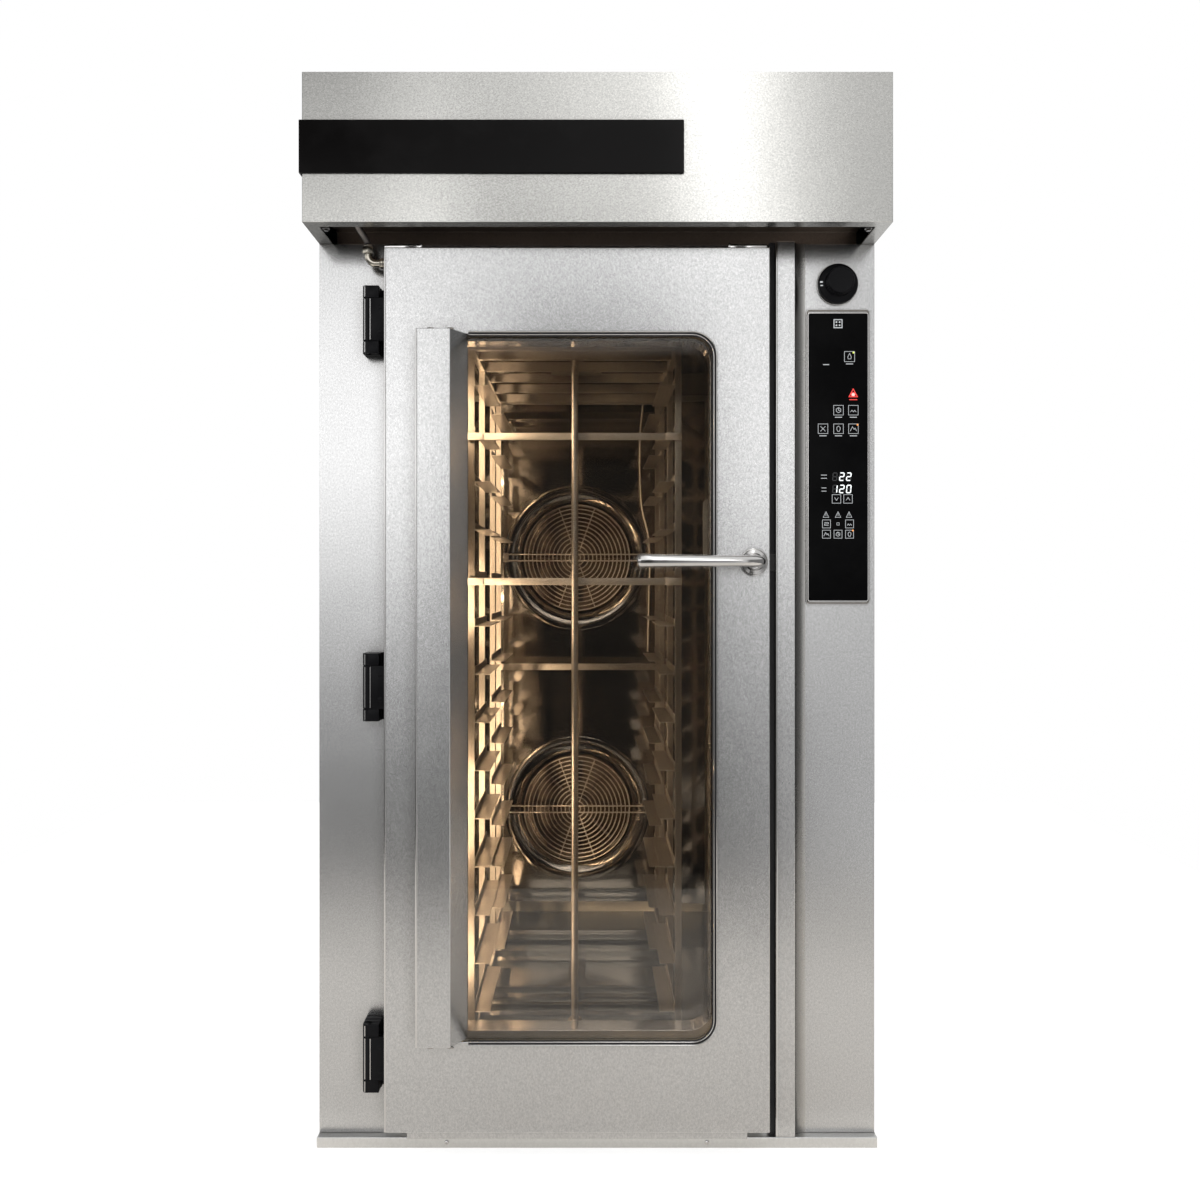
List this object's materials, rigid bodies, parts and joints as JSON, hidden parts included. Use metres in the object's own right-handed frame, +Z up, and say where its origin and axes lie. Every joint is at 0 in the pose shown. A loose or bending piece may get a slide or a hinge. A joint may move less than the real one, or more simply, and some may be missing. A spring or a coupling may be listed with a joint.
{
  "type": "rotating rack oven",
  "caption": "Steel rack oven with a canopy hood, a left-hinged glazed door with lever handle, side controls and a turning tray rack in front of two rear fans.",
  "frame": {"origin": "centre of the base's underside, on the floor", "axes": "+X to the right seen from the front, +Y from the door to the back, +Z up"},
  "size_m": [1.0455, 1.4017, 2.0083],
  "materials": {
    "brushed": "finely brushed stainless steel",
    "polished": "bright polished stainless steel",
    "bar": "satin stainless bar and wire",
    "galvanised": "galvanised sheet",
    "insulation": "pressed mineral wool in foil",
    "black_plastic": "moulded black plastic",
    "black_gloss": "gloss black panel",
    "glass": "clear toughened glass",
    "rubber": "matt black rubber",
    "motor": "dark painted metal",
    "lamp": "halogen lamps on a rail"
  },
  "bodies": {
    "cabinet": {"base_frame": "brushed", "left_side_panel": "brushed", "right_side_panel": "brushed", "hinge_stile": "brushed", "lock_post": "brushed", "control_fascia": "brushed", "door_surround": "brushed", "hood_shell": "brushed", "control_bezel": "polished", "chamber_floor": "polished", "chamber_liner": "polished", "fan_baffle": "polished", "upper_fan_guard": "bar", "lower_fan_guard": "bar", "lamp_conduit": "bar", "back_panel": "galvanised", "control_box": "galvanised", "top_deck": "galvanised", "hood_filter": "galvanised", "flue_collar": "galvanised", "insulation_jacket": "insulation", "rear_wall": "insulation", "upper_hinge_frame_leaf": "black_plastic", "middle_hinge_frame_leaf": "black_plastic", "lower_hinge_frame_leaf": "black_plastic", "control_screen": "black_gloss", "hood_band": "black_gloss", "drive_belt": "rubber", "upper_fan_motor": "motor", "lower_fan_motor": "motor", "rack_gearmotor": "motor", "heating_element": "motor"},
    "door": {"door_skin": "brushed", "door_core": "insulation", "door_plug": "polished", "outer_glass": "glass", "inner_glass": "glass", "release_bar": "bar", "door_gasket": "rubber", "window_trim": "polished", "lamp_cover": "brushed", "lamp_rail": "lamp", "upper_hinge_door_leaf": "black_plastic", "middle_hinge_door_leaf": "black_plastic", "lower_hinge_door_leaf": "black_plastic", "handle_rosette": "polished", "conduit_elbow": "bar"},
    "handle": {"door_handle": "polished"},
    "knob": {"selector_knob": "black_plastic"},
    "rack": {"rack_base_frame": "bar", "rack_top_frame": "bar", "front_left_ladder": "bar", "front_right_ladder": "bar", "rear_left_ladder": "bar", "rear_right_ladder": "bar", "tray_stop": "bar", "rack_spindle": "bar"},
    "upper_fan": {"upper_fan_impeller": "galvanised"},
    "lower_fan": {"lower_fan_impeller": "galvanised"},
    "motor_pulley": {"drive_pulley": "galvanised"}
  },
  "joints": [
    {"name": "door_hinge", "type": "hinge", "parent": "cabinet", "child": "door", "pos_m": [-0.423, -0.637, 0.8], "axis": [0, 0, -1], "range_deg": [0, 120]},
    {"name": "handle_turn", "type": "hinge", "parent": "door", "child": "handle", "pos_m": [0.286, -0.665, 1.087], "axis": [0, -1, 0], "range_deg": [0, 75]},
    {"name": "knob_turn", "type": "hinge", "parent": "cabinet", "child": "knob", "pos_m": [0.45, -0.615, 1.608], "axis": [0, 1, 0], "range_deg": [0, 270]},
    {"name": "rack_turn", "type": "hinge", "parent": "cabinet", "child": "rack", "pos_m": [-0.044, -0.106, 0.8], "axis": [0, 0, 1], "continuous": true},
    {"name": "pulley_turn", "type": "hinge", "parent": "cabinet", "child": "motor_pulley", "pos_m": [0.23, -0.106, 1.745], "axis": [0, 0, 1], "continuous": true},
    {"name": "upper_fan_turn", "type": "hinge", "parent": "cabinet", "child": "upper_fan", "pos_m": [-0.048, 0.36, 1.122], "axis": [0, 1, 0], "continuous": true},
    {"name": "lower_fan_turn", "type": "hinge", "parent": "cabinet", "child": "lower_fan", "pos_m": [-0.048, 0.36, 0.412], "axis": [0, 1, 0], "continuous": true}
  ],
  "couplings": [
    {"joint": "pulley_turn", "follows": "rack_turn", "ratio": 2.5789}
  ]
}
